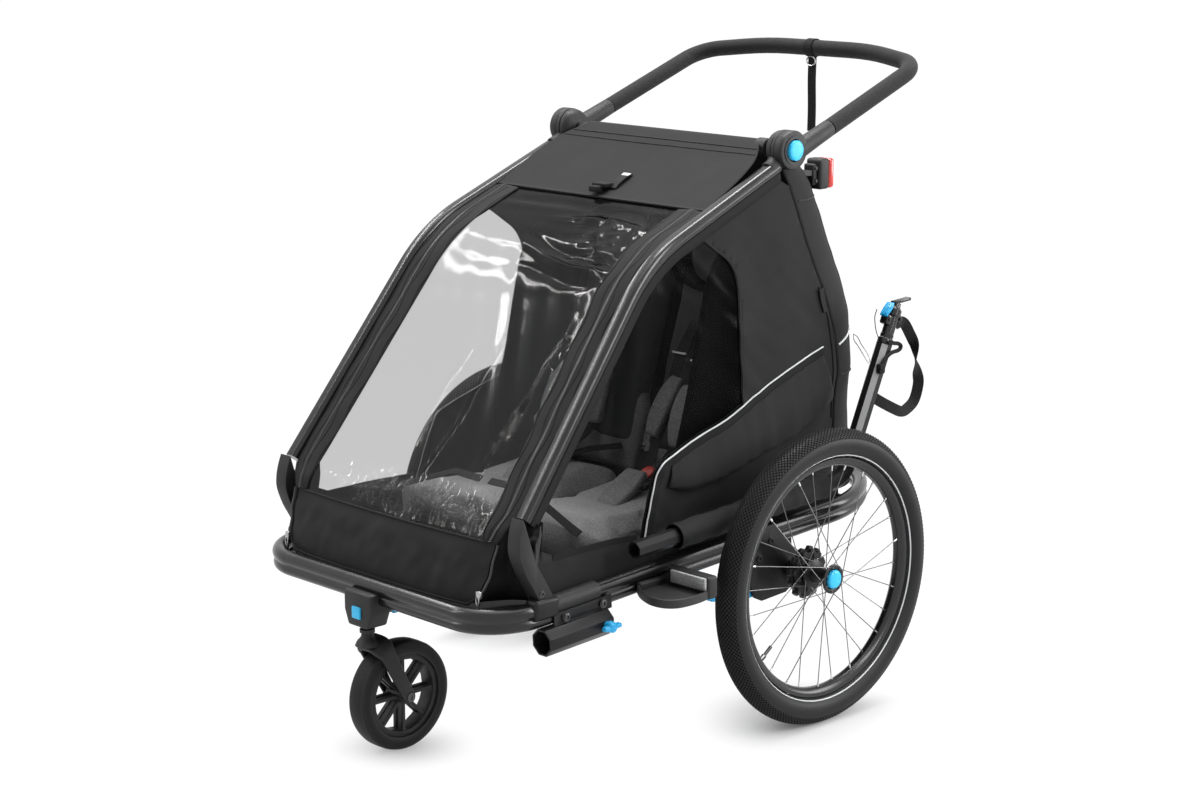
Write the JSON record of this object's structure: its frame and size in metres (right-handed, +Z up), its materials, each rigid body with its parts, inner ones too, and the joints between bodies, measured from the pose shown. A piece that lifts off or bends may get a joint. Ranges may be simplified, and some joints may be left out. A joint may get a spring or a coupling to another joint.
{
  "type": "child bike trailer",
  "caption": "Two seat child trailer with folding hoops, clear front window, spoked wheels, front caster, turning handlebar and stowed drawbar",
  "frame": {"origin": "on the ground, under the middle of the whole trailer's footprint", "axes": "+X to the trailer's left, +Y to its rear where the handlebar is, +Z up"},
  "size_m": [0.847, 1.1352, 1.107],
  "materials": {
    "black_aluminium": "black anodised",
    "bare_aluminium": "bare, brushed",
    "black_plastic": "moulded, fine grain",
    "blue_plastic": "smooth",
    "red_plastic": "smooth, clear red",
    "reflector": "prismatic white",
    "fabric": "woven, coated",
    "seat_mesh": "padded mesh",
    "window": "clear soft vinyl",
    "tyre": "black rubber",
    "foam": "closed cell foam",
    "webbing": "woven webbing"
  },
  "bodies": {
    "chassis": {"base_frame": "black_aluminium", "floor_panel": "fabric", "axle_bracket_left": "black_aluminium", "axle_bracket_right": "black_aluminium", "rail_clamp_left": "black_aluminium", "rail_clamp_right": "black_aluminium", "drawbar_receiver": "black_aluminium", "wheel_guard_left": "black_plastic", "wheel_guard_right": "black_plastic", "reflector_left": "reflector", "reflector_right": "reflector", "caster_housing": "black_plastic", "drawbar": "bare_aluminium", "drawbar_head": "black_aluminium", "drawbar_sleeve": "fabric", "safety_strap": "webbing", "front_panel": "fabric", "side_fabric_left": "fabric", "side_fabric_right": "fabric", "rear_fabric": "fabric", "seat_pad_left": "seat_mesh", "seat_pad_right": "seat_mesh", "backrest_pad_left": "seat_mesh", "backrest_pad_right": "seat_mesh", "harness_buckle_left": "black_plastic", "harness_buckle_right": "black_plastic"},
    "hoops": {"hoop_left": "black_aluminium", "hoop_right": "black_aluminium", "hoop_foot_left": "black_plastic", "hoop_foot_right": "black_plastic", "hinge_housing_left": "black_plastic", "hinge_housing_right": "black_plastic", "roof_tube": "black_aluminium", "roof_panel": "fabric", "front_window": "window", "rear_light": "black_plastic", "light_lens": "red_plastic"},
    "strut": {"rear_strut": "black_aluminium"},
    "handle": {"handlebar": "black_aluminium", "handle_grip": "foam", "wrist_strap": "webbing"},
    "wheel_left": {"tyre_left": "tyre", "wheel_rim_left": "black_aluminium"},
    "wheel_right": {"tyre_right": "tyre", "wheel_rim_right": "black_aluminium"},
    "cap_left": {"wheel_cap_left": "blue_plastic"},
    "cap_right": {"wheel_cap_right": "blue_plastic"},
    "caster": {"caster_fork": "black_plastic"},
    "caster_roller": {"caster_tyre": "tyre", "caster_wheel": "black_plastic"},
    "swivel_button": {"caster_button": "blue_plastic"},
    "swivel_lock": {"caster_lock_knob": "blue_plastic"},
    "brake_left": {"brake_lever_left": "blue_plastic"},
    "brake_right": {"brake_lever_right": "blue_plastic"},
    "wing_knob": {"receiver_knob": "blue_plastic"},
    "hitch_lever": {"coupling_lever": "blue_plastic"},
    "handle_button_left": {"hinge_button_left": "blue_plastic"},
    "handle_button_right": {"hinge_button_right": "blue_plastic"},
    "harness_button_left": {"buckle_button_left": "red_plastic"},
    "harness_button_right": {"buckle_button_right": "red_plastic"}
  },
  "joints": [
    {"name": "hoop_fold", "type": "hinge", "parent": "chassis", "child": "hoops", "pos_m": [0, -0.43207, 0.324], "axis": [1, 0, 0], "range_deg": [-38, 0], "deforming": ["side_fabric_left", "side_fabric_right", "rear_fabric", "backrest_pad_left", "backrest_pad_right"]},
    {"name": "strut_fold", "type": "hinge", "parent": "chassis", "child": "strut", "pos_m": [0, 0.33693, 0.356], "axis": [1, 0, 0], "range_deg": [0, 70]},
    {"name": "handle_turn", "type": "hinge", "parent": "hoops", "child": "handle", "pos_m": [0, 0.16993, 0.955], "axis": [1, 0, 0], "range_deg": [-35, 150]},
    {"name": "wheel_spin_left", "type": "hinge", "parent": "chassis", "child": "wheel_left", "pos_m": [0.395, 0.13193, 0.2525], "axis": [1, 0, 0], "continuous": true},
    {"name": "wheel_spin_right", "type": "hinge", "parent": "chassis", "child": "wheel_right", "pos_m": [-0.395, 0.13193, 0.2525], "axis": [1, 0, 0], "continuous": true},
    {"name": "cap_press_left", "type": "slide", "parent": "wheel_left", "child": "cap_left", "axis": [-1, 0, 0], "range_m": [0, 0.004], "stiffness_N_per_m": 60},
    {"name": "cap_press_right", "type": "slide", "parent": "wheel_right", "child": "cap_right", "axis": [1, 0, 0], "range_m": [0, 0.004], "stiffness_N_per_m": 60},
    {"name": "caster_swivel", "type": "hinge", "parent": "chassis", "child": "caster", "pos_m": [0, -0.52807, 0.216], "axis": [0, 0, 1], "continuous": true},
    {"name": "caster_roll", "type": "hinge", "parent": "caster", "child": "caster_roller", "pos_m": [0, -0.46507, 0.0921], "axis": [1, 0, 0], "continuous": true},
    {"name": "swivel_button_press", "type": "slide", "parent": "chassis", "child": "swivel_button", "axis": [0, 1, 0], "range_m": [0, 0.003], "stiffness_N_per_m": 60},
    {"name": "swivel_lock_pull", "type": "slide", "parent": "chassis", "child": "swivel_lock", "axis": [0, 1, 0], "range_m": [0, 0.006], "stiffness_N_per_m": 60},
    {"name": "brake_press_left", "type": "hinge", "parent": "chassis", "child": "brake_left", "pos_m": [0.306, 0.04523, 0.2275], "axis": [1, 0, 0], "range_deg": [0, 18]},
    {"name": "brake_press_right", "type": "hinge", "parent": "chassis", "child": "brake_right", "pos_m": [-0.306, 0.04523, 0.2275], "axis": [1, 0, 0], "range_deg": [0, 18]},
    {"name": "wing_knob_turn", "type": "hinge", "parent": "chassis", "child": "wing_knob", "pos_m": [0.334, -0.31467, 0.2502], "axis": [1, 0, 0], "continuous": true},
    {"name": "hitch_lever_turn", "type": "hinge", "parent": "chassis", "child": "hitch_lever", "pos_m": [0.334, 0.35039, 0.67394], "axis": [1, 0, 0], "range_deg": [-20, 0]},
    {"name": "handle_button_press_left", "type": "slide", "parent": "hoops", "child": "handle_button_left", "axis": [-1, 0, 0], "range_m": [0, 0.0025], "stiffness_N_per_m": 60},
    {"name": "handle_button_press_right", "type": "slide", "parent": "hoops", "child": "handle_button_right", "axis": [1, 0, 0], "range_m": [0, 0.0025], "stiffness_N_per_m": 60},
    {"name": "harness_release_left", "type": "slide", "parent": "chassis", "child": "harness_button_left", "axis": [0, 1, 0], "range_m": [0, 0.0025], "stiffness_N_per_m": 40},
    {"name": "harness_release_right", "type": "slide", "parent": "chassis", "child": "harness_button_right", "axis": [0, 1, 0], "range_m": [0, 0.0025], "stiffness_N_per_m": 40}
  ],
  "couplings": [
    {"joint": "strut_fold", "follows": "hoop_fold", "ratio": -1.84}
  ]
}
